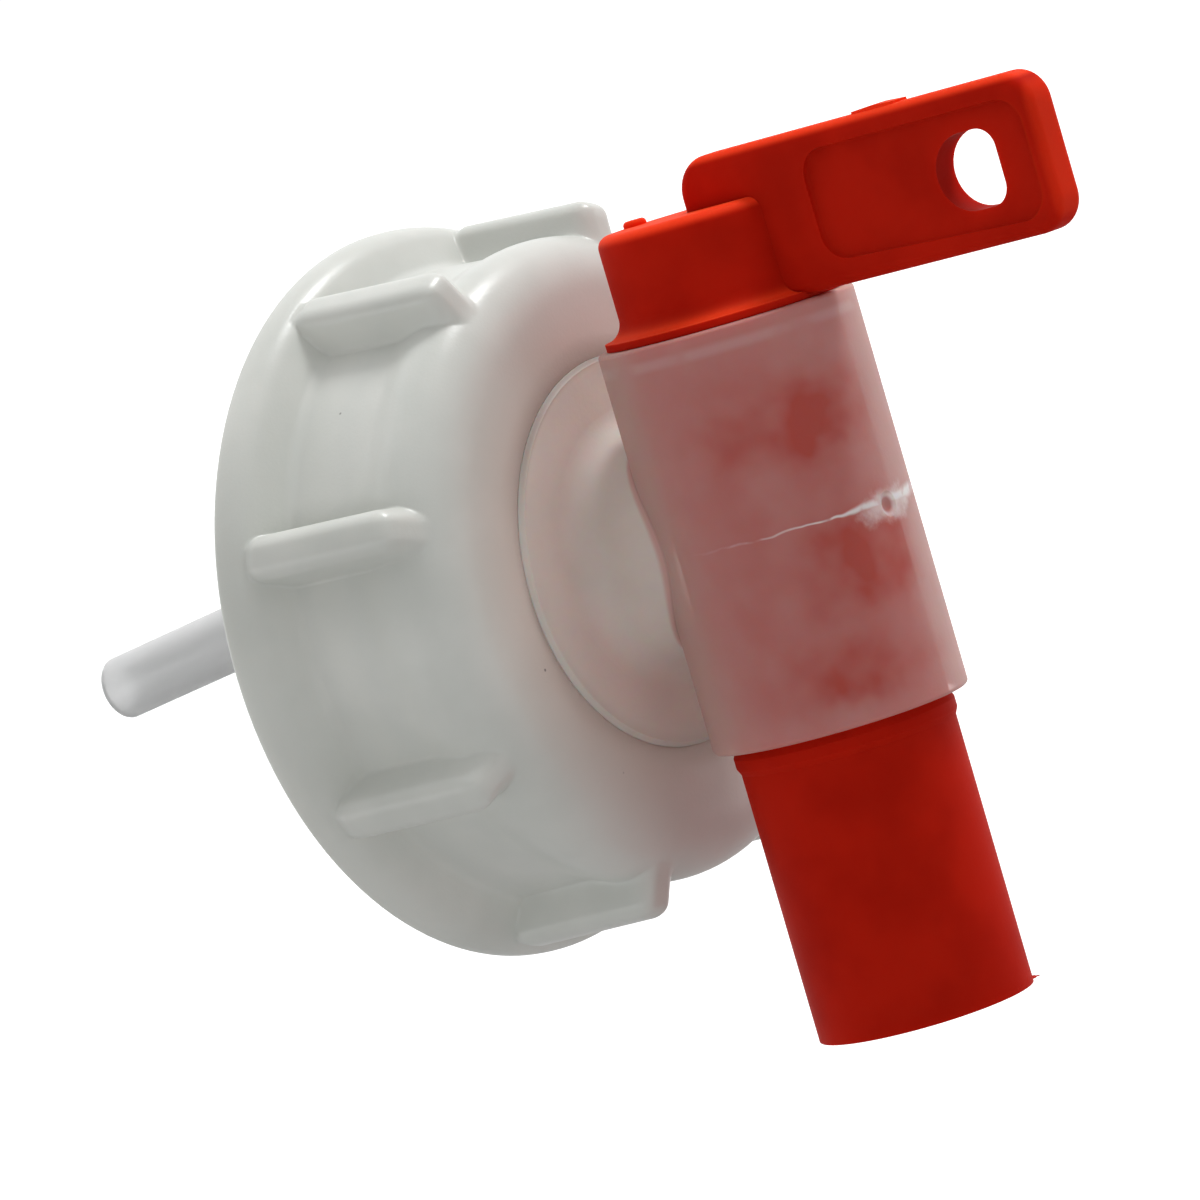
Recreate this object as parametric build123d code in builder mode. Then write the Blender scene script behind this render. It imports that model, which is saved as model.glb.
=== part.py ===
import os
from math import cos, radians, sin

from build123d import *

# All sizes are in millimetres. The cap's axis is Y, the can lies towards +Y and the plug stands upright.
# The origin is the middle of the gasket's back face, where the can's neck presses.

# Screw cap
lip_r = 35.0
lip_length = 4.4
lip_round = 2.2
rim_round = 0.8
skirt_depth = 16.0
skirt_wall = 1.4
skirt_lean = 0.3
floor_r = 30.2
hollow_r = 1.8
front_wall = 2.6
front_round = 5.6
corner_round = 1.8
rib_count = 8
rib_angle = 162.4
rib_width = 4.2
rib_back_height = 4.2
rib_front_height = 3.8
rib_round = 1.2
rib_sink = 0.3
nose_set = 3.6
toe_set = 1.6
toe_drop = 2.0

# Tap body
flange_wall = 2.35
flange_gap = 0.7
flange_bevel = 1.3
wall_gap = 0.05
boss_r = 18.6
boss_gap = 0.06
boss_proud = 0.5
boss_wall = 2.2
neck_r = 10.5
neck_round = 3.0
reach = 16.0
sleeve_wall = 1.84
sleeve_half = 19.1
sleeve_round = 0.4
liquid_r = 5.6
liquid_z = -3.5
air_r = 1.9
air_z = 7.6
socket_rise = 0.8
socket_wall = 1.75
socket_length = 9.4
air_run = 0.6
gate_z = -0.8
gate_r = 2.0
gate_depth = 0.4

# Gasket
gasket_wall = 2.0
gasket_width = 6.3

# Vent tube
tube_r = 3.15
tube_wall = 1.0
tube_drop = 8.4
tube_length = 68.4

# Plug
spout_r = 10.25
spout_wall = 2.0
spout_length = 28.2
plug_gap = 0.06
bead_height = 0.3
bead_width = 2.2
bead_slope = 0.6
bead_gap = 0.25
collar_width = 0.95
collar_height = 0.7
collar_slope = 1.7
collar_round = 1.9
collar_gap = 0.05
hub_r = 9.35
hub_wall = 2.15
hub_height = 10.3
hub_round = 1.2
hub_roof = 2.5
divider_wall = 1.4
divider_place = -2.3
divider_set = 0.8
divider_sink = 0.5
shelf_z = 2.6
pip_r = 1.1
pip_place = 7.0
pip_height = 0.6
pip_round = 0.4

# Lever
lever_wall = 4.0
lever_gap = 0.35
lever_height = 14.6
lever_length = 40.6
lever_start = 0.3
lever_round = 1.0
root_round = 3.4
tip_round = 3.0
recess_depth = 0.55
recess_start = 14.7
recess_round = 2.6
recess_low = 2.4
recess_high = 2.0
recess_end = 1.4
recess_edge = 0.3
eye_place = 32.05
eye_height = 7.0
eye_r = 3.55
eye_round = 1.9
nub_place = 23.5
nub_length = 4.8
nub_width = 2.4
nub_height = 0.35

# Places that follow from the sizes above
flange_back_y = -gasket_wall
flange_front_y = flange_back_y - flange_wall
wall_in_y = flange_front_y - wall_gap
front_y = wall_in_y - front_wall
boss_y = front_y - boss_proud
hole_r = boss_r + boss_gap
bore_r = floor_r - skirt_wall
flange_r = bore_r - flange_gap
rim_y = skirt_depth
lip_y = rim_y - lip_length
floor_back_r = floor_r + skirt_lean
knee_y = front_y + front_round
edge_r = floor_r - front_round
axis_y = front_y - reach
sleeve_bore_r = spout_r + plug_gap
sleeve_r = sleeve_bore_r + sleeve_wall
spout_bore_r = spout_r - spout_wall
mouth_z = -sleeve_half - spout_length
bead_z = -sleeve_half - bead_gap
collar_z = sleeve_half + collar_gap
hub_top_z = sleeve_half + hub_height
lever_low_z = sleeve_half + lever_gap
lever_top_z = lever_low_z + lever_height
lever_root = axis_y - lever_start
lever_tip = lever_root - lever_length
eye_y = axis_y - eye_place
eye_z = lever_low_z + eye_height
nub_y = axis_y - nub_place
socket_floor_y = boss_y + boss_wall

up = (Align.CENTER, Align.CENTER, Align.MIN)
back_way = (-90, 0, 0)
tube_dir = (0, cos(radians(tube_drop)), -sin(radians(tube_drop)))
tube_plane = Plane(origin=(0, socket_floor_y, air_z + socket_rise), x_dir=(1, 0, 0), z_dir=tube_dir)

# One grip rib, drawn at the top of the cap
with BuildPart() as rib:
    with BuildSketch(Plane.YZ):
        root_r = bore_r + rib_sink
        Polygon((lip_y + lip_round, root_r), (lip_y + lip_round, floor_back_r + rib_back_height),
                (front_y + nose_set, floor_r + rib_front_height), (front_y + toe_set, floor_r - toe_drop),
                (wall_in_y - rib_sink, floor_r - toe_drop), (wall_in_y - rib_sink, root_r), align=None)
    extrude(amount=rib_width / 2, both=True)
    high = rib.edges().filter_by(lambda e: e.center().Z > floor_r)
    fillet(high.filter_by(lambda e: e.center().Y < lip_y), rib_round)

# Screw cap: a turned section with the ribs set round it
with BuildPart() as cap_nut:
    with BuildSketch(Plane.XY):
        with BuildLine():
            Polyline((bore_r - corner_round, wall_in_y), (hole_r, wall_in_y), (hole_r, front_y),
                     (edge_r, front_y))
            RadiusArc((edge_r, front_y), (floor_r, knee_y), -front_round)
            Line((floor_r, knee_y), (floor_back_r, lip_y - hollow_r))
            RadiusArc((floor_back_r, lip_y - hollow_r), (floor_back_r + hollow_r, lip_y), hollow_r)
            Line((floor_back_r + hollow_r, lip_y), (lip_r - lip_round, lip_y))
            RadiusArc((lip_r - lip_round, lip_y), (lip_r, lip_y + lip_round), -lip_round)
            Line((lip_r, lip_y + lip_round), (lip_r, rim_y - rim_round))
            RadiusArc((lip_r, rim_y - rim_round), (lip_r - rim_round, rim_y), -rim_round)
            Polyline((lip_r - rim_round, rim_y), (bore_r + rim_round, rim_y), (bore_r, rim_y - rim_round),
                     (bore_r, wall_in_y + corner_round))
            RadiusArc((bore_r, wall_in_y + corner_round), (bore_r - corner_round, wall_in_y), corner_round)
        make_face()
    revolve(axis=Axis.Y)
    turns = [90.0 - rib_angle - 360.0 * i / rib_count for i in range(rib_count)]
    with Locations(*[Location((0, 0, 0), (0, turn, 0)) for turn in turns]):
        add(rib.part)
cap_nut.part.label = "cap_nut"

# Tap body: flange, cored boss and neck are turned, the sleeve stands across them
with BuildPart() as tap_body:
    with BuildSketch(Plane.XY):
        with BuildLine():
            foot_r = neck_r + neck_round
            Polyline((neck_r, axis_y), (0, axis_y), (0, socket_floor_y), (boss_r - boss_wall, socket_floor_y),
                     (boss_r - boss_wall, flange_back_y), (flange_r, flange_back_y),
                     (flange_r, flange_front_y + flange_bevel), (flange_r - flange_bevel, flange_front_y),
                     (boss_r, flange_front_y), (boss_r, boss_y + sleeve_round),
                     (boss_r - sleeve_round, boss_y), (foot_r, boss_y))
            RadiusArc((foot_r, boss_y), (neck_r, boss_y - neck_round), -neck_round)
            Line((neck_r, boss_y - neck_round), (neck_r, axis_y))
        make_face()
    revolve(axis=Axis.Y)
    with Locations((0, axis_y, 0)):
        Cylinder(sleeve_r, 2 * sleeve_half)
    rims = tap_body.edges().filter_by(GeomType.CIRCLE)
    fillet(rims.filter_by(lambda e: abs(abs(e.center().Z) - sleeve_half) < 0.01), sleeve_round)
    with Locations(tube_plane.offset(-boss_wall / 2).location):
        Cylinder(tube_r + socket_wall, socket_length + boss_wall / 2, align=up)
    with Locations(tube_plane.location):
        Cylinder(tube_r, 2 * socket_length, align=up, mode=Mode.SUBTRACT)
    with Locations((0, axis_y, 0)):
        Cylinder(sleeve_bore_r, 3 * sleeve_half, mode=Mode.SUBTRACT)
    with Locations(Location((0, axis_y, liquid_z), back_way)):
        Cylinder(liquid_r, -axis_y, align=up, mode=Mode.SUBTRACT)
    with Locations(Location((0, axis_y, air_z), back_way)):
        Cylinder(air_r, socket_floor_y - axis_y + air_run, align=up, mode=Mode.SUBTRACT)
    with Locations((0, axis_y - sleeve_r - gate_r + gate_depth, gate_z)):
        Sphere(gate_r, mode=Mode.SUBTRACT)
tap_body.part.label = "tap_body"

# Flat gasket behind the flange
with BuildPart() as neck_gasket:
    with BuildSketch(Plane.XZ):
        Circle(flange_r)
        Circle(flange_r - gasket_width, mode=Mode.SUBTRACT)
    extrude(amount=gasket_wall)
neck_gasket.part.label = "neck_gasket"

# Vent tube, pressed into the socket and sloping down into the can
with BuildPart() as vent_tube:
    with BuildSketch(tube_plane):
        Circle(tube_r)
        Circle(tube_r - tube_wall, mode=Mode.SUBTRACT)
    extrude(amount=tube_length)
vent_tube.part.label = "vent_tube"

# Lever blade with a shallow recess in each face, an eye near its tip and a low nub on its top edge
with BuildPart() as lever:
    with BuildSketch(Plane.YZ) as blade:
        Polygon((lever_root, lever_low_z), (lever_root, lever_top_z), (lever_tip, lever_top_z),
                (lever_tip, lever_low_z), align=None)
        fillet(blade.vertices().group_by(Axis.X)[0], tip_round)
        fillet(blade.vertices().sort_by_distance((lever_root, lever_top_z))[0], root_round)
    extrude(amount=lever_wall / 2, both=True)
    fillet(lever.faces().filter_by(Axis.X).edges(), lever_round)
    with BuildSketch(Plane.YZ.offset(lever_wall / 2 - recess_depth)) as dish:
        recess_y, end_y = axis_y - recess_start, lever_tip + recess_end
        Polygon((recess_y, lever_low_z + recess_low), (recess_y, lever_top_z - recess_high),
                (end_y, lever_top_z - recess_high), (end_y, lever_low_z + recess_end), align=None)
        fillet(dish.vertices(), recess_round)
    extrude(amount=lever_wall, mode=Mode.SUBTRACT)
    floor_x = lever_wall / 2 - recess_depth
    fillet(lever.edges().filter_by(lambda e: abs(e.center().X - floor_x) < recess_edge / 4), recess_edge)
    mirror(about=Plane.YZ, mode=Mode.INTERSECT)
    with BuildSketch(Plane.YZ) as eye:
        with Locations((eye_y, eye_z)):
            Circle(eye_r)
        Polygon((eye_y, eye_z - eye_r), (eye_y, eye_z + eye_r), (eye_y - eye_r, eye_z + eye_r),
                (eye_y - eye_r, eye_z - eye_r), align=None)
        fillet(eye.vertices().group_by(Axis.X)[0], eye_round)
    extrude(amount=lever_wall, both=True, mode=Mode.SUBTRACT)
    with BuildSketch(Plane.XZ.offset(-nub_y)):
        with Locations((0, lever_top_z)):
            Rectangle(nub_width, 2 * nub_height)
    extrude(amount=nub_length / 2, both=True, taper=3)

# Wall and shelf that keep the liquid and the air apart inside the plug
with BuildPart() as divider:
    with Locations((0, axis_y, mouth_z + divider_set)):
        Cylinder(spout_bore_r + divider_sink, shelf_z + divider_wall - mouth_z - divider_set, align=up)
    with BuildSketch(Plane.YZ):
        place_y = axis_y + divider_place
        Polygon((place_y - divider_wall / 2, mouth_z), (place_y + divider_wall / 2, mouth_z),
                (place_y + divider_wall / 2, shelf_z), (axis_y + spout_r, shelf_z),
                (axis_y + spout_r, shelf_z + divider_wall),
                (place_y - divider_wall / 2, shelf_z + divider_wall), align=None)
    extrude(amount=spout_r, both=True, mode=Mode.INTERSECT)

# Plug: barrel, collar, hub and spout are turned, then joined with the lever and bored out
with BuildPart() as plug:
    with BuildSketch(Plane.XZ.offset(-axis_y)):
        with BuildLine():
            bead_r = spout_r + bead_height
            collar_top = collar_z + collar_height
            Polyline((0, hub_top_z), (0, mouth_z), (spout_r, mouth_z), (spout_r, bead_z - bead_width),
                     (bead_r, bead_z - bead_width + bead_slope), (bead_r, bead_z - bead_slope),
                     (spout_r, bead_z), (spout_r, collar_z), (spout_r + collar_width, collar_z),
                     (spout_r + collar_width, collar_top))
            RadiusArc((spout_r + collar_width, collar_top), (hub_r, collar_top + collar_slope), collar_round)
            Line((hub_r, collar_top + collar_slope), (hub_r, hub_top_z - hub_round))
            RadiusArc((hub_r, hub_top_z - hub_round), (hub_r - hub_round, hub_top_z), -hub_round)
            Line((hub_r - hub_round, hub_top_z), (0, hub_top_z))
        make_face()
    revolve(axis=Axis((0, axis_y, 0), (0, 0, 1)))
    with Locations((0, axis_y + pip_place, hub_top_z)):
        Cylinder(pip_r, 2 * pip_height)
    fillet(plug.edges().sort_by(Axis.Z)[-1], pip_round)
    add(lever.part)
    with Locations((0, axis_y, mouth_z)):
        Cylinder(spout_bore_r, collar_z - mouth_z, align=up, mode=Mode.SUBTRACT)
    with Locations((0, axis_y, collar_z)):
        Cylinder(hub_r - hub_wall, hub_top_z - hub_roof - collar_z, align=up, mode=Mode.SUBTRACT)
    add(divider.part)
    with Locations(Location((0, axis_y, liquid_z), back_way)):
        Cylinder(liquid_r, 2 * spout_r, align=up, mode=Mode.SUBTRACT)
    with Locations(Location((0, axis_y, air_z), back_way)):
        Cylinder(air_r, 2 * spout_r, align=up, mode=Mode.SUBTRACT)
plug.part.label = "plug"

os.makedirs("parts", exist_ok=True)
export_step(cap_nut.part, "parts/cap_nut.step")
export_step(tap_body.part, "parts/tap_body.step")
export_step(neck_gasket.part, "parts/neck_gasket.step")
export_step(vent_tube.part, "parts/vent_tube.step")
export_step(plug.part, "parts/plug.step")
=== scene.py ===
from math import atan, cos, pi, radians, sin

import bmesh
import bpy
from mathutils import Matrix, Vector


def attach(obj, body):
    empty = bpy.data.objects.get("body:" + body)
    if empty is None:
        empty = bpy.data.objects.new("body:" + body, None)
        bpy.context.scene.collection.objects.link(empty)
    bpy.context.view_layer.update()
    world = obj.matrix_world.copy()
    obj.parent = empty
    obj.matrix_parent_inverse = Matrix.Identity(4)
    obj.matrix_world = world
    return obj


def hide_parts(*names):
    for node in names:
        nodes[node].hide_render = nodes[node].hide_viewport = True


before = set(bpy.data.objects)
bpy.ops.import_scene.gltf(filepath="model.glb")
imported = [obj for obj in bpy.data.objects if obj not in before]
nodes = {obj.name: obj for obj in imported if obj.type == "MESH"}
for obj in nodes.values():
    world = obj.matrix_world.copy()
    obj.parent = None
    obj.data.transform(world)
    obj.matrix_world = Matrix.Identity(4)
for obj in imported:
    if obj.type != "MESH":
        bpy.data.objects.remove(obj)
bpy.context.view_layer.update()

mm = 0.001
perMetre = 1000.0  # millimetres
perRadian = 180 / pi  # degrees
print("frame loaded:", sorted(nodes))


# a socket that can be used in sums, in shader trees and geometry trees alike
class Wire:
    def __init__(self, socket):
        self.socket = socket

    def sum(self, operation, *parts):
        tree = self.socket.id_data
        step = tree.nodes.new("ShaderNodeMath")
        step.operation = operation
        for slot, part in zip(step.inputs, parts):
            plugIn(tree, slot, part)
        return Wire(step.outputs[0])

    def __add__(self, other): return self.sum("ADD", self, other)
    def __radd__(self, other): return self.sum("ADD", other, self)
    def __sub__(self, other): return self.sum("SUBTRACT", self, other)
    def __rsub__(self, other): return self.sum("SUBTRACT", other, self)
    def __mul__(self, other): return self.sum("MULTIPLY", self, other)
    def __rmul__(self, other): return self.sum("MULTIPLY", other, self)
    def __truediv__(self, other): return self.sum("DIVIDE", self, other)
    def __rtruediv__(self, other): return self.sum("DIVIDE", other, self)
    def __abs__(self): return self.sum("ABSOLUTE", self)
    def sqrt(self): return self.sum("SQRT", self)
    def sine(self): return self.sum("SINE", self)
    def cosine(self): return self.sum("COSINE", self)
    def least(self, other): return self.sum("MINIMUM", self, other)
    def most(self, other): return self.sum("MAXIMUM", self, other)
    def turn(self, other): return self.sum("ARCTAN2", self, other)
    def wrap(self, low, high): return self.sum("WRAP", self, high, low)
    def above(self, other): return self.sum("GREATER_THAN", self, other)
    def clip(self): return self.most(0.0).least(1.0)

    # 0 below low, 1 above high, soft between
    def fade(self, low, high):
        t = ((self - low) / (high - low)).clip()
        return t * t * (3.0 - 2.0 * t)

    # the other way round
    def fall(self, low, high):
        return 1.0 - self.fade(low, high)


def plugIn(tree, slot, part):
    if isinstance(part, Wire):
        tree.links.new(part.socket, slot)
    else:
        slot.default_value = part


class Bench:
    def __init__(self, tree):
        self.tree = tree

    # any node: its type, its settings, then its sockets; gives the output asked for
    def node(self, kind, settings=None, sockets=None, out=0):
        made = self.tree.nodes.new(kind)
        for key, value in (settings or {}).items():
            setattr(made, key, value)
        for key, value in (sockets or {}).items():
            plugIn(self.tree, made.inputs[key], value)
        return Wire(made.outputs[out]) if len(made.outputs) else made

    def mix(self, share, first, second):
        return self.node("ShaderNodeMix", {"data_type": "RGBA"}, {0: share, 6: first, 7: second}, 2)

    def split(self, vector):
        return [Wire(s) for s in self.node("ShaderNodeSeparateXYZ", None, {0: vector}).socket.node.outputs]

    # object coordinates in millimetres, whole and split
    def places(self):
        spot = self.node("ShaderNodeTexCoord", out="Object")
        spot = self.node("ShaderNodeVectorMath", {"operation": "SCALE"}, {0: spot, "Scale": perMetre})
        return spot, self.split(spot)

    def noise(self, spot, scale, detail=2.0, rough=0.5):
        return self.node("ShaderNodeTexNoise", None,
                         {"Vector": spot, "Scale": scale, "Detail": detail, "Roughness": rough})

    # scattered dots, 1 in the dot
    def specks(self, spot, scale, size):
        dots = self.node("ShaderNodeTexVoronoi", None, {"Vector": spot, "Scale": scale, "Randomness": 1.0})
        return dots.fall(*size)

    def bump(self, strength, height, distance=0.0004):
        return self.node("ShaderNodeBump", None, {"Strength": strength, "Distance": distance, "Height": height})


def newFinish(name):
    mat = bpy.data.materials.new(name)
    mat.use_nodes = True
    mat.node_tree.nodes.clear()
    bench = Bench(mat.node_tree)
    surface = bench.node("ShaderNodeBsdfPrincipled")
    bench.node("ShaderNodeOutputMaterial", None, {"Surface": surface})
    return mat, bench, surface.socket.node


def setShader(bench, shader, **parts):
    for key, value in parts.items():
        plugIn(bench.tree, shader.inputs[key.replace("_", " ")], value)


def colour(r, g, b):
    return (r, g, b, 1.0)


def addPiece(name, mesh, body, slot, *stands):
    piece = bpy.data.objects.new(name, mesh)
    bpy.context.scene.collection.objects.link(piece)
    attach(piece, body)
    if stands:
        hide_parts(*stands)


# turns every face outwards
def faceOut(mesh):
    work = bmesh.new()
    work.from_mesh(mesh)
    bmesh.ops.recalc_face_normals(work, faces=work.faces)
    work.to_mesh(mesh)
    work.free()


# runs a geometry tree on a mesh and keeps the plain result
def applyTree(tree, mesh, inputs, name):
    carrier = bpy.data.objects.new(name + ".work", mesh)
    bpy.context.scene.collection.objects.link(carrier)
    mod = carrier.modifiers.new("tree", "NODES")
    mod.node_group = tree
    idents = {s.name: s.identifier for s in tree.interface.items_tree if s.in_out == "INPUT"}
    for key, value in inputs.items():
        mod[idents[key]] = value
    bpy.context.view_layer.update()
    graph = bpy.context.evaluated_depsgraph_get()
    plain = bpy.data.meshes.new_from_object(carrier.evaluated_get(graph))
    carrier.modifiers.remove(mod)
    bpy.data.objects.remove(carrier)
    plain.name = name
    return plain


# a tree with one named input for each size
def newTree(name, sizes):
    tree = bpy.data.node_groups.new(name, "GeometryNodeTree")
    tree.interface.new_socket("Geometry", in_out="INPUT", socket_type="NodeSocketGeometry")
    for key, value in sizes.items():
        kind = "NodeSocketInt" if isinstance(value, int) else "NodeSocketFloat"
        tree.interface.new_socket(key, in_out="INPUT", socket_type=kind)
    tree.interface.new_socket("Geometry", in_out="OUTPUT", socket_type="NodeSocketGeometry")
    bench = Bench(tree)
    source = bench.node("NodeGroupInput").socket.node
    return tree, bench, {s.name: Wire(s) for s in source.outputs if s.name}


def endTree(bench, shape, material):
    shape = bench.node("GeometryNodeSetShadeSmooth", None, {"Geometry": shape})
    shape = bench.node("GeometryNodeRealizeInstances", None, {0: shape})
    shape = bench.node("GeometryNodeSetMaterial", None, {"Geometry": shape, "Material": material})
    bench.node("NodeGroupOutput", None, {0: shape})


# white cap plastic: satin, a little cloudy, with a painted pink glow of light bounced from the red plug round the hole,
# and a few dark specks in it
whiteLook = dict(light=colour(0.72, 0.73, 0.69), shade=colour(0.67, 0.685, 0.645), cloudScale=0.09, clouds=(0.35, 0.65),
                 redBounceGlow=colour(0.74, 0.57, 0.50), redBounceR=(15.0, 29.0), redBounceY=(-7.2, -4.5), redBounceShare=0.8,
                 speck=colour(0.10, 0.09, 0.08), speckScale=0.16, speckSize=(0.018, 0.034), speckShare=0.75,
                 grainScale=3.2, bump=0.10, bumpGrain=0.3, bumpCloud=2.0, gloss=0.31, glossVary=0.12,
                 deep=0.22, deepScale=0.003, deepColours=(1.0, 0.9, 0.85), ior=1.5)


def whitePlastic():
    look = whiteLook
    mat, bench, shader = newFinish("whitePlastic")
    spot, (x, y, z) = bench.places()
    cloud = bench.noise(spot, look["cloudScale"], 3.0)
    grain = bench.noise(spot, look["grainScale"])
    tone = bench.mix(cloud.fade(*look["clouds"]), look["light"], look["shade"])
    # painted reflected light: a pink glow of light bounced from the red plug, on the front face round the hole
    radius = (x * x + z * z).sqrt()
    redBounceGlow = radius.fall(*look["redBounceR"]) * y.fall(*look["redBounceY"]) * look["redBounceShare"]
    tone = bench.mix(redBounceGlow, tone, look["redBounceGlow"])
    speck = bench.specks(spot, look["speckScale"], look["speckSize"]) * look["speckShare"]
    tone = bench.mix(speck, tone, look["speck"])
    bump = bench.bump(look["bump"], grain * look["bumpGrain"] + cloud * look["bumpCloud"])
    setShader(bench, shader, Base_Color=tone, Roughness=look["gloss"] + (grain - 0.5) * look["glossVary"], Normal=bump,
              Subsurface_Weight=look["deep"], Subsurface_Scale=look["deepScale"],
              Subsurface_Radius=look["deepColours"], IOR=look["ior"])
    return mat


# frosted body plastic: the red plug shows through the sleeve, redder where it lies on the wall
frostLook = dict(milk=colour(0.70, 0.61, 0.56), cloudy=colour(0.66, 0.57, 0.52), cloudScale=0.16, clouds=(0.3, 0.7),
                 pink=colour(0.59, 0.205, 0.19), pinkShare=0.86, pinkVary=0.3,
                 red=colour(0.60, 0.09, 0.065), redShare=0.85, paleSheen=colour(0.61, 0.38, 0.34),
                 white=colour(0.92, 0.90, 0.90), fineScale=0.5, grainScale=2.6,
                 speckScale=0.13, speckSize=(0.014, 0.028), speckShare=0.7,
                 bump=0.12, bumpGrain=0.3, bumpCloud=1.2, bumpMark=0.8, gloss=0.50, glossVary=0.1,
                 see=0.15, seeMore=0.15, seeMarked=0.8, deep=0.5, deepScale=0.004, ior=1.5, shine=0.25)
# sleeve: distances from its own axis, and heights
sleevePlace = dict(axisY=-23.0, boreR=(10.4, 11.2), clearR=(12.2, 12.35), outR=(12.25, 12.8), backY=(-12.2, -10.8),
                   rimZ=17.3, rimWidth=(0.1, 0.8), rimClouds=(0.35, 0.6), rimShare=0.14)
# painted pale sheen on the sleeve's sides, where the wall turns away: middle, core and end in degrees from the front
# towards the left, strength
paleSheenSides = [(-26.0, 8.0, 34.0, 0.55), (130.0, 10.0, 42.0, 0.85)]
# red patches: from and to angle, low and high end, strength
patches = [(-2, 46, 5.8, 12.0, 0.75), (20, 80, 7.0, 10.6, 0.45), (-8, 47, -8.2, -1.0, 1.0),
           (30, 62, -16.6, -12.0, 1.0), (-14, 34, -15.6, -13.4, 0.4), (8, 86, -17.0, 15.0, 0.35)]
patchEdge = dict(turn=14, height=2.0, blurCloud=14.0, blurFine=3.0, riseCloud=2.0, riseFine=1.6,
                 breakScale=0.26, breaks=(0.2, 0.85), least=0.4, vary=0.65)
# round seat in the cap's hole, with painted shade and painted light on its edge and face: distances from the cap's axis
seatLook = dict(dark=colour(0.40, 0.33, 0.30), glow=colour(0.89, 0.80, 0.75),
                edgeR=(17.95, 18.4), edgeFront=(-8.4, -8.0), edgeBack=(-6.9, -6.6),
                litZ=(2.0, 14.0), paintedShadeShare=0.95, paleZ=(-16.0, -8.0), paintedLightShare=0.25,
                faceY=(-8.0, -6.5), underR=(17.0, 18.4), underZ=(-12.0, 2.0), underShare=0.5,
                overR=(17.6, 18.4), overZ=(5.0, 14.0), overShare=0.45)
# moulding gate on the sleeve's front, with its whitened star
gate = dict(turn=0.0, z=-0.8, perDegree=0.212, wide=0.4, tall=2.4, rough=3.4, roughScale=0.6, star=(0.8, 3.15),
            starShare=0.6, pit=(0.525, 0.975), pitShare=0.9)
# crease that runs from the gate round to the left
crease = dict(z=-0.32, wander=0.5, thin=0.16, broad=0.7, broadTurn=(-4.0, 34.0), soft=(0.1, 1.0), start=(-40.0, -20.0),
              end=(16.0, 104.0), breakScale=0.55, breaks=(0.20, 0.50), share=0.85)


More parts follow.
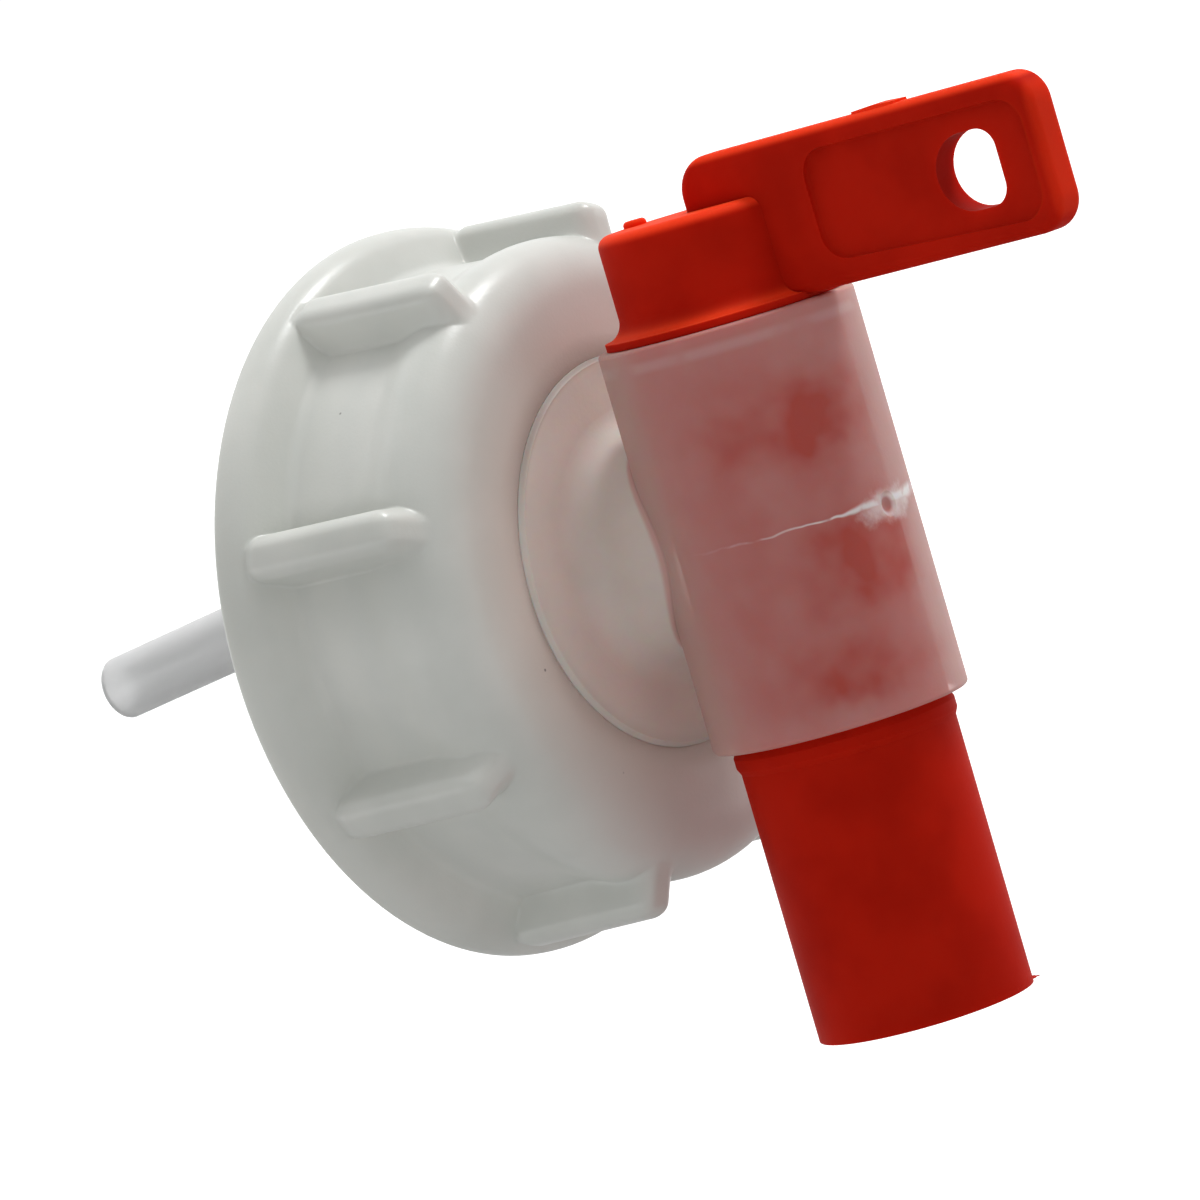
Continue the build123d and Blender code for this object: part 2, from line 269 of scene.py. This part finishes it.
def naturalPlastic():
    look, place, seat = frostLook, sleevePlace, seatLook
    mat, bench, shader = newFinish("naturalPlastic")
    spot, (x, y, z) = bench.places()
    cloud = bench.noise(spot, look["cloudScale"], 3.0)
    fine = bench.noise(spot, look["fineScale"], 1.0)
    grain = bench.noise(spot, look["grainScale"])
    yAxis = y - place["axisY"]
    radius = (x * x + yAxis * yAxis).sqrt()
    turn = (0.0 - x).turn(0.0 - yAxis) * perRadian
    sleeve = radius.fall(*place["outR"]) * y.fall(*place["backY"])
    tone = bench.mix(cloud.fade(*look["clouds"]), look["milk"], look["cloudy"])
    tone = bench.mix(sleeve * (look["pinkShare"] + (cloud - 0.5) * look["pinkVary"]), tone, look["pink"])
    # painted pale sheen on the two sides of the sleeve
    right, left = [abs(turn - middle).fall(core, end) * share for middle, core, end, share in paleSheenSides]
    tone = bench.mix(sleeve * right.most(left), tone, look["paleSheen"])
    # painted shade darkens the lit upper part of the seat's edge and painted light pales its shaded part, so the edge
    # hardly shows; painted light also makes its face paler below and above the sleeve
    reach = (x * x + z * z).sqrt()
    edge = reach.fade(*seat["edgeR"]) * y.fall(*seat["edgeBack"]) * y.fade(*seat["edgeFront"])
    lit = z.fade(*seat["litZ"])
    tone = bench.mix(edge * lit * seat["paintedShadeShare"], tone, seat["dark"])
    tone = bench.mix(edge * (1.0 - lit) * z.fade(*seat["paleZ"]) * seat["paintedLightShare"], tone, seat["glow"])
    # painted light on the seat's face, lifting the shade below the sleeve, and paler above it
    face = (1.0 - sleeve) * y.fall(*seat["faceY"])
    paintedLightBelow = face * reach.fall(*seat["underR"]) * z.fall(*seat["underZ"])
    tone = bench.mix(paintedLightBelow * seat["underShare"], tone, seat["glow"])
    paintedLightAbove = face * reach.fall(*seat["overR"]) * z.fade(*seat["overZ"])
    tone = bench.mix(paintedLightAbove * seat["overShare"], tone, seat["glow"])
    # red patches with wandering edges
    wide, high = patchEdge["turn"], patchEdge["height"]
    around = turn + ((cloud - 0.5) * patchEdge["blurCloud"] + (fine - 0.5) * patchEdge["blurFine"])
    level = z + ((fine - 0.5) * patchEdge["riseFine"] + (cloud - 0.5) * patchEdge["riseCloud"])
    red = 0.0
    for start, end, low, top, share in patches:
        across = around.fade(start - wide, start + wide) * around.fall(end - wide, end + wide)
        along = level.fade(low - high, low + high) * level.fall(top - high, top + high)
        red = across * along * share + red
    broken = bench.noise(spot, patchEdge["breakScale"], 1.5).fade(*patchEdge["breaks"])
    red = (red * (patchEdge["least"] + broken * patchEdge["vary"])).least(1.0) * sleeve
    tone = bench.mix(red * look["redShare"], tone, look["red"])
    # a pale edge inside the top rim
    rim = abs(z - place["rimZ"]).fall(*place["rimWidth"]) * sleeve * cloud.fade(*place["rimClouds"]) * place["rimShare"]
    tone = bench.mix(rim, tone, look["white"])
    # crease and whitened star round the gate
    wander = abs(z - crease["z"] + (fine - 0.5) * crease["wander"])
    broad = crease["thin"] + turn.fall(*crease["broadTurn"]) * crease["broad"]
    line = (wander / broad).fall(*crease["soft"]) * turn.fade(*crease["start"]) * turn.fall(*crease["end"])
    line = line * bench.noise(spot, crease["breakScale"]).fade(*crease["breaks"]) * sleeve
    acrossGate = (turn - gate["turn"]) * gate["perDegree"]
    upGate = z - gate["z"]
    far = (acrossGate * acrossGate * gate["wide"] + upGate * upGate * gate["tall"]).sqrt()
    ragged = far + (bench.noise(spot, gate["roughScale"], 3.0, 0.6) - 0.5) * gate["rough"]
    star = ragged.fall(*gate["star"]) * sleeve
    pit = (acrossGate * acrossGate + upGate * upGate).sqrt().fall(*gate["pit"])
    mark = (star * gate["starShare"]).most(line * crease["share"]) * (1.0 - pit * gate["pitShare"])
    tone = bench.mix(mark, tone, look["white"])
    # tiny dark specks
    speck = bench.specks(spot, look["speckScale"], look["speckSize"]) * look["speckShare"]
    tone = bench.mix(speck, tone, whiteLook["speck"])
    # the sleeve lets the plug show through, its bore does not show at all
    bore = radius.fall(*place["boreR"])
    clear = sleeve * (look["see"] + look["seeMore"] * red) * (1.0 - mark * look["seeMarked"])
    clear = (clear * radius.fall(*place["clearR"])).most(bore * sleeve)
    bump = bench.bump(look["bump"], grain * look["bumpGrain"] + cloud * look["bumpCloud"] + mark * look["bumpMark"])
    setShader(bench, shader, Base_Color=tone, Roughness=look["gloss"] + (cloud - 0.5) * look["glossVary"], Normal=bump,
              Alpha=1.0 - clear, IOR=look["ior"], Specular_IOR_Level=look["shine"],
              Subsurface_Weight=look["deep"], Subsurface_Scale=look["deepScale"])
    return mat


# red plug plastic, soft satin
redLook = dict(bright=colour(0.53, 0.013, 0.004), deep=colour(0.45, 0.010, 0.003), cloudScale=0.11, clouds=(0.35, 0.65),
               eye=colour(0.36, 0.007, 0.002), paintedTopHighlight=colour(0.97, 0.055, 0.014), highlightShare=0.75, highlightVary=0.2,
               grainScale=3.4, bump=0.10, bumpGrain=0.4, bumpCloud=1.2, gloss=0.58, glossVary=0.12,
               deepWeight=0.35, deepScale=0.004, deepColours=(1.0, 0.14, 0.06), ior=1.2, shine=0.1)
# painted highlight on the top edges and painted shade in the eye of the plug; distances from its axis, half widths and
# heights
plugPlace = dict(axisY=-23.0, bladeTop=(33.15, 33.8), tipY=(62.9, 63.7), tipShare=0.4, bladeHalf=(2.02, 2.2),
                 rootY=(-0.3, 0.2), roofZ=(28.3, 29.1), pipZ=(30.1, 30.3), hubR=(9.4, 9.6), flareR=(9.4, 10.3),
                 flareEnd=(11.25, 11.35), flareLow=(19.75, 19.9), flareHigh=(21.6, 21.8),
                 eyeY=-55.05, eyeZ=26.45, eyeHalf=(3.6, 3.75), eyeDeep=(1.3, 1.44))


def redPlastic():
    look, place = redLook, plugPlace
    mat, bench, shader = newFinish("redPlastic")
    spot, (x, y, z) = bench.places()
    cloud = bench.noise(spot, look["cloudScale"], 3.0)
    grain = bench.noise(spot, look["grainScale"])
    tone = bench.mix(cloud.fade(*look["clouds"]), look["bright"], look["deep"])
    # painted highlight: the top edges of the blade, hub and collar, and the blade's tip, are a brighter red where light
    # from above catches them
    yAxis = y - place["axisY"]
    radius = (x * x + yAxis * yAxis).sqrt()
    blade = z.fade(*place["bladeTop"]).most((0.0 - y).fade(*place["tipY"]) * place["tipShare"])
    roof = z.fade(*place["roofZ"]) * z.fall(*place["pipZ"]) * radius.fall(*place["hubR"])
    flare = radius.fade(*place["flareR"]) * radius.fall(*place["flareEnd"])
    flare = flare * z.fade(*place["flareLow"]) * z.fall(*place["flareHigh"])
    offBlade = abs(x).fade(*place["bladeHalf"]).most(yAxis.fade(*place["rootY"]))
    paintedTopHighlight = blade.most(roof.most(flare) * offBlade)
    tone = bench.mix(paintedTopHighlight * (look["highlightShare"] + grain * look["highlightVary"]), tone, look["paintedTopHighlight"])
    # painted shade: the wall of the eye is darkened so that, where light catches it, it is no brighter than the blade
    eye = abs(y - place["eyeY"]).fall(*place["eyeHalf"]) * abs(z - place["eyeZ"]).fall(*place["eyeHalf"])
    tone = bench.mix(eye * abs(x).fall(*place["eyeDeep"]), tone, look["eye"])
    bump = bench.bump(look["bump"], grain * look["bumpGrain"] + cloud * look["bumpCloud"])
    setShader(bench, shader, Base_Color=tone, Roughness=look["gloss"] + (grain - 0.5) * look["glossVary"], Normal=bump,
              IOR=look["ior"], Specular_IOR_Level=look["shine"], Subsurface_Weight=look["deepWeight"],
              Subsurface_Scale=look["deepScale"], Subsurface_Radius=look["deepColours"])
    return mat


# vent tube: clear milky hose
tubeLook = dict(tone=colour(0.90, 0.91, 0.91), pale=colour(0.96, 0.96, 0.96), cloudScale=0.2, through=0.5,
                gloss=0.34, glossVary=0.1, ior=1.5)


def tubePlastic():
    look = tubeLook
    mat, bench, shader = newFinish("tubePlastic")
    spot = bench.places()[0]
    cloud = bench.noise(spot, look["cloudScale"])
    setShader(bench, shader, Base_Color=bench.mix(cloud, look["tone"], look["pale"]),
              Roughness=look["gloss"] + (cloud - 0.5) * look["glossVary"], IOR=look["ior"],
              Transmission_Weight=look["through"])
    return mat


# soft ring behind the flange
gasketLook = dict(tone=colour(0.56, 0.55, 0.51), dust=colour(0.66, 0.65, 0.61), cellScale=2.4, dusty=(0.1, 0.7),
                  bump=0.25, bumpDeep=0.0002, gloss=0.75, glossVary=0.1, cellMiddle=0.3)


def gasketFoam():
    look = gasketLook
    mat, bench, shader = newFinish("gasketFoam")
    spot = bench.places()[0]
    cells = bench.node("ShaderNodeTexVoronoi", None, {"Vector": spot, "Scale": look["cellScale"]})
    bump = bench.bump(look["bump"], cells, look["bumpDeep"])
    setShader(bench, shader, Base_Color=bench.mix(cells.fade(*look["dusty"]), look["tone"], look["dust"]),
              Roughness=look["gloss"] + (cells - look["cellMiddle"]) * look["glossVary"], Normal=bump)
    return mat


finishes = dict(cap_nut=whitePlastic(), tap_body=naturalPlastic(), plug=redPlastic(), vent_tube=tubePlastic(),
                neck_gasket=gasketFoam())
for nodeName, finish in finishes.items():
    for place in nodes[nodeName].material_slots:
        place.material = finish
print("finishes on", len(finishes), "nodes")

# screw cap's ribs, raised by a rule from the turned blank; millimetres, and degrees for the first rib
cap = dict(ribCount=8, firstRib=162.4, halfWidth=2.15, crestRound=1.6, footRound=1.6, backY=13.8, backCrest=34.7,
           frontY=-3.4, frontCrest=34.0, noseY=-2.5, noseScale=0.8, tailY=11.2, tailScale=1.2,
           wallSteep=6.0, lipR=35.0)
# distance from the middle of a rib to each row of points, at the gauge radius; close together at the rib's wall
capAround = [0, 0.35, 0.7, 0.9, 1.1, 1.3, 1.5, 1.65, 1.78, 1.88, 1.96, 2.02, 2.07, 2.11, 2.15, 2.2, 2.25, 2.3, 2.35,
             2.4, 2.46, 2.53, 2.62, 2.74, 2.9, 3.1, 3.35, 3.7, 4.2, 4.9, 5.8, 7.0, 8.4, 10.0, 11.5]
gaugeR = 33.0
rowGap = 0.3
# the blank's section as distances along the axis (Y) and from it (R); pairs are (Y, R)
blank = dict(faceY=-7.0, faceR=(21.0, 23.2), ridgeY=-2.2, ridgeR=24.6, ridgeDeep=4.8, ridgeHigh=6.05, ribbedY=-5.8,
             floorY=2.2, floorR=29.9, footY=9.4, footR=30.3, hollow=1.6, lean=62,
             slopeStart=(10.81, 31.15), slopeEnd=(11.95, 33.3), crownY=14.78, crownR=31.8, crown=3.2,
             edgeY=15.2, edgeR=34.2, edgeRound=0.8, edgeStart=8, rimY=16.0, rimR=29.6, rimBevel=(15.8, 29.15),
             boreR=28.8, cornerY=-2.6, cornerR=27.0, corner=1.8, wallY=-4.4, wallR=18.9,
             holeBevel=[(-4.48, 18.7), (-4.7, 18.61)], holeR=18.61, holeY=(-5.8, -6.97), holeLip=(-7.0, 18.64))


def arc(centreY, centreR, size, start, end, steps):
    turns = [radians(start + (end - start) * i / steps) for i in range(steps + 1)]
    return [(centreY + size * sin(t), centreR + size * cos(t)) for t in turns]


# points between two ends, without the ends
def run(first, last, steps):
    return [(first[0] + (last[0] - first[0]) * i / steps, first[1] + (last[1] - first[1]) * i / steps)
            for i in range(1, steps)]


# the section as (y, radius) pairs, from the hole forwards and round; the flag marks what ribs may lift
def capSection():
    b = blank
    ridgeSteps, easeSteps, bendSteps = 33, 14, 9
    ridge = [radians(-90 + 90 * i / ridgeSteps) for i in range(ridgeSteps + 1)]
    ridge = [(b["ridgeY"] + b["ridgeDeep"] * sin(t), b["ridgeR"] + b["ridgeHigh"] * cos(t)) for t in ridge]
    front = [(b["faceY"], r) for r in b["faceR"]] + [p for p in ridge if p[0] < b["ribbedY"]]
    outer = [p for p in ridge if p[0] >= b["ribbedY"]]
    # ridge eases down to the floor of the pockets
    topR = b["ridgeR"] + b["ridgeHigh"]
    halfDrop = (topR - b["floorR"]) / 2
    span = b["floorY"] - b["ridgeY"]
    outer += [(b["ridgeY"] + span * i / easeSteps, topR - halfDrop * (1 - cos(pi * i / easeSteps)))
              for i in range(1, easeSteps + 1)]
    outer += run((b["floorY"], b["floorR"]), (b["footY"], b["footR"]), 13)
    # hollow at the foot of the lip, its slope and its crown
    bend = [radians(b["lean"] * i / bendSteps) for i in range(bendSteps + 1)]
    outer += [(b["footY"] + b["hollow"] * sin(t), b["footR"] + b["hollow"] - b["hollow"] * cos(t)) for t in bend]
    outer += run(b["slopeStart"], b["slopeEnd"], 4)
    outer += [(b["crownY"] - b["crown"] * sin(t), b["crownR"] + b["crown"] * cos(t)) for t in reversed(bend)]
    # back rim, bore, front wall and hole
    plain = arc(b["edgeY"], b["edgeR"], b["edgeRound"], b["edgeStart"], 90, 6)
    plain += run((b["rimY"], b["edgeR"]), (b["rimY"], b["rimR"]), 4)
    plain += [(b["rimY"], b["rimR"]), b["rimBevel"], (b["edgeY"], b["boreR"])]
    plain += run((b["edgeY"], b["boreR"]), (b["cornerY"], b["boreR"]), 10)
    plain += arc(b["cornerY"], b["cornerR"], b["corner"], 0, -90, 6)
    plain += run((b["wallY"], b["cornerR"]), (b["wallY"], b["wallR"]), 6) + [(b["wallY"], b["wallR"])]
    plain += b["holeBevel"] + [(y, b["holeR"]) for y in b["holeY"]] + [b["holeLip"]]
    return [(y, r, 0.0) for y, r in front] + [(y, r, 1.0) for y, r in outer] + [(y, r, 0.0) for y, r in plain]


def capBlank():
    section = capSection()
    sector = 2 * pi / cap["ribCount"]
    steps = [w for w in capAround if w < sector / 2 * gaugeR - rowGap]
    local = sorted([-w / gaugeR for w in steps if w > 0] + [w / gaugeR for w in steps] + [sector / 2])
    turns = [radians(cap["firstRib"]) + k * sector + t for k in range(cap["ribCount"]) for t in local]
    verts, faces, flags = [], [], []
    for t in turns:
        for y, r, flag in section:
            verts.append((r * cos(t) * mm, y * mm, r * sin(t) * mm))
            flags.append(flag)
    n, m = len(section), len(turns)
    for i in range(m):
        here, ahead = i * n, (i + 1) % m * n
        for j in range(n):
            k = (j + 1) % n
            faces.append((here + j, ahead + j, ahead + k, here + k))
    mesh = bpy.data.meshes.new("capBlank")
    mesh.from_pydata(verts, [], faces)
    mark = mesh.attributes.new("ribbed", "FLOAT", "POINT")
    mark.data.foreach_set("value", flags)
    faceOut(mesh)
    return mesh


def capTree():
    tree, bench, size = newTree("capRibs", cap)
    spot = bench.node("GeometryNodeInputPosition")
    x, y, z = [part * perMetre for part in bench.split(spot)]
    radius = (x * x + z * z).sqrt()
    pitch = 2 * pi / size["ribCount"]
    local = (z.turn(x) - size["firstRib"] * radians(1.0)).wrap(pitch * -0.5, pitch * 0.5)
    off = abs(local) * gaugeR
    # height of the rib along the cap
    along = ((y - size["frontY"]) / (size["backY"] - size["frontY"])).clip()
    crest = size["frontCrest"] + (size["backCrest"] - size["frontCrest"]) * along
    # fall to its sides, nose and tail, rounded at the crest and steep below; the root never quite reaches 0
    bendLimit = 0.985
    side = (off - (size["halfWidth"] - size["crestRound"])).most(0.0)
    end = ((size["noseY"] - y) * size["noseScale"]).most((y - size["tailY"]) * size["tailScale"]).most(0.0)
    side = (side * side + end * end).sqrt()
    bend = side.least(size["crestRound"] * bendLimit)
    drop = size["crestRound"] - (size["crestRound"] * size["crestRound"] - bend * bend).sqrt()
    drop = drop + (side - bend) * size["wallSteep"]
    rib = crest - drop
    # the foot runs into the floor with a soft round
    share = ((rib - radius) / size["footRound"] * 0.5 + 0.5).clip()
    lifted = radius + (rib - radius) * share + share * (1.0 - share) * size["footRound"]
    lifted = lifted.least(size["lipR"]).most(radius)
    ratio = lifted / radius
    moved = bench.node("ShaderNodeCombineXYZ", None, {0: x * ratio * mm, 1: y * mm, 2: z * ratio * mm})
    mark = bench.node("GeometryNodeInputNamedAttribute", {"data_type": "FLOAT"}, {"Name": "ribbed"})
    shape = bench.node("GeometryNodeSetPosition", None,
                       {"Geometry": size["Geometry"], "Selection": mark.above(0.5), "Position": moved})
    endTree(bench, shape, finishes["cap_nut"])
    return tree


capMesh = applyTree(capTree(), capBlank(), cap, "screwCap")
addPiece("screwCap", capMesh, "cap", "white_plastic", "cap_nut")
print("screw cap:", len(capMesh.polygons), "faces")

# thread inside the cap, one bead along a helix that fades out at both ends; fade and tip are shares
thread = dict(startY=1.7, pitch=5.2, turns=2.2, radius=28.85, bead=0.95, fade=0.07, tip=0.02, steps=260, sides=14)


def threadTree():
    tree, bench, size = newTree("capThread", thread)
    line = bench.node("GeometryNodeCurvePrimitiveLine")
    line = bench.node("GeometryNodeResampleCurve", None, {"Curve": line, "Count": size["steps"]})
    along = bench.node("GeometryNodeSplineParameter", out="Factor")
    turned = along * size["turns"] * (2 * pi)
    spot = bench.node("ShaderNodeCombineXYZ", None, {
        0: size["radius"] * mm * turned.cosine(),
        1: (size["startY"] + along * size["turns"] * size["pitch"]) * mm,
        2: size["radius"] * mm * turned.sine() * -1.0})
    line = bench.node("GeometryNodeSetPosition", None, {"Geometry": line, "Position": spot})
    ends = along.fade(0.0, size["fade"]) * along.fall(1.0 - size["fade"], 1.0)
    line = bench.node("GeometryNodeSetCurveRadius", None,
                      {"Curve": line, "Radius": size["tip"] + ends * (1.0 - size["tip"])})
    ring = bench.node("GeometryNodeCurvePrimitiveCircle", None,
                      {"Resolution": size["sides"], "Radius": size["bead"] * mm})
    shape = bench.node("GeometryNodeCurveToMesh", None, {"Curve": line, "Profile Curve": ring, "Fill Caps": True})
    endTree(bench, shape, finishes["cap_nut"])
    return tree


threadMesh = applyTree(threadTree(), bpy.data.meshes.new("threadBlank"), thread, "capThread")
addPiece("capThread", threadMesh, "cap", "white_plastic")
print("cap thread:", len(threadMesh.polygons), "faces")

# sliver of flash left on the spout's mouth; millimetres, with turn and spread in degrees
flash = dict(axisY=-23.0, radius=10.2, root=9.7, z=-47.05, turn=-51.0, spread=7.0, reach=0.75, thick=0.22, steps=14,
             waves=9.0, waveShare=0.2, swell=0.7, lip=0.3, thinning=0.6)


def makeFlash():
    f = flash
    rows = []
    for i in range(f["steps"] + 1):
        t = -1.0 + 2.0 * i / f["steps"]
        angle = radians(f["turn"] + t * f["spread"])
        wave = 1.0 - f["waveShare"] + f["waveShare"] * cos(f["waves"] * t)
        out = f["radius"] + f["reach"] * max(0.0, 1.0 - abs(t)) ** f["swell"] * wave
        half = f["thick"] / 2 * (1.0 - f["thinning"] * abs(t))
        ring = [(f["root"], -half), (out, -half * f["lip"]), (out, half * f["lip"]), (f["root"], half)]
        rows.append([(r * cos(angle) * mm, (f["axisY"] + r * sin(angle)) * mm, (f["z"] + h) * mm) for r, h in ring])
    verts = [v for row in rows for v in row]
    faces = [(4 * i + j, 4 * i + (j + 1) % 4, 4 * i + 4 + (j + 1) % 4, 4 * i + 4 + j)
             for i in range(f["steps"]) for j in range(4)]
    faces += [(3, 2, 1, 0), tuple(4 * f["steps"] + j for j in range(4))]
    mesh = bpy.data.meshes.new("mouthFlash")
    mesh.from_pydata(verts, [], faces)
    faceOut(mesh)
    mesh.materials.append(finishes["plug"])
    addPiece("mouthFlash", mesh, "plug", "red_plastic")


makeFlash()
print("mouth flash added")

# floor and light; the floor's sizes are in metres, the sky is brightest behind the tap
studio = dict(floorZ=-0.30, floorSize=14.0, floorNear=0.30, floorGlow=(0.4, 1.4), floorRough=0.9,
              sun=1.65, sunWay=(0.35, -0.25, 1.0), sunSoft=16.0, far=1.05, near=0.11, top=0.70,
              topFade=(0.1, 0.95), side=(0.70, 0.62, 0.35), sideFade=(0.05, 0.8))


def makeFloor():
    mesh = bpy.data.meshes.new("studioFloor")
    s, level = studio["floorSize"], studio["floorZ"]
    mesh.from_pydata([(-s, -s, level), (s, -s, level), (s, s, level), (-s, s, level)], [], [(0, 1, 2, 3)])
    floor = bpy.data.objects.new("studioFloor", mesh)
    bpy.context.scene.collection.objects.link(floor)
    mat, bench, shader = newFinish("floorPaper")
    spot, (x, y, z) = bench.places()
    away = ((x * x + y * y).sqrt() * mm).fade(*studio["floorGlow"])
    glow = bench.mix(away, colour(0.0, 0.0, 0.0), colour(1.0, 1.0, 1.0))
    paper = studio["floorNear"]
    setShader(bench, shader, Base_Color=colour(paper, paper, paper), Roughness=studio["floorRough"],
              Emission_Color=glow, Emission_Strength=1.0)
    mesh.materials.append(mat)


def makeLight():
    lamp = bpy.data.lights.new("softSun", "SUN")
    lamp.energy = studio["sun"]
    lamp.angle = radians(studio["sunSoft"])
    holder = bpy.data.objects.new("softSun", lamp)
    holder.rotation_euler = Vector(studio["sunWay"]).to_track_quat("Z", "Y").to_euler()
    bpy.context.scene.collection.objects.link(holder)
    world = bpy.data.worlds.new("studioWorld")
    world.use_nodes = True
    bpy.context.scene.world = world
    bench = Bench(world.node_tree)
    world.node_tree.nodes.clear()
    way = bench.node("ShaderNodeTexCoord", out="Generated")
    facing = bench.node("ShaderNodeVectorMath", {"operation": "DOT_PRODUCT"},
                        {0: way, 1: studio["side"]}, "Value")
    height = bench.split(way)[2]
    near = studio["near"] + (studio["top"] - studio["near"]) * height.fade(*studio["topFade"])
    level = near + (studio["far"] - near) * facing.fade(*studio["sideFade"])
    sky = bench.node("ShaderNodeBackground", None, {"Color": colour(1.0, 1.0, 1.0), "Strength": level})
    bench.node("ShaderNodeOutputWorld", None, {0: sky})


# camera at the photo's angle; place in millimetres, focal and half the frame in pixels, clip in metres
view = dict(right=(0.59589, -0.75230, -0.28102), up=(0.23618, -0.17029, 0.95666),
            back=(-0.76755, -0.63643, 0.07620), place=(-529.99, -438.82, 49.06), focal=7372.83, halfFrame=600,
            clip=(0.01, 60.0))


def makeCamera():
    data = bpy.data.cameras.new("photoCamera")
    data.sensor_fit = "AUTO"
    data.angle = 2 * atan(view["halfFrame"] / view["focal"])
    data.clip_start, data.clip_end = view["clip"]
    camera = bpy.data.objects.new("photoCamera", data)
    turn = Matrix((view["right"], view["up"], view["back"])).transposed().to_4x4()
    camera.matrix_world = Matrix.Translation(Vector(view["place"]) * mm) @ turn
    bpy.context.scene.collection.objects.link(camera)
    bpy.context.scene.camera = camera


makeFloor()
makeLight()
makeCamera()
bpy.context.scene.view_settings.view_transform = "Standard"
print("floor, light and camera set")

bpy.context.view_layer.update()
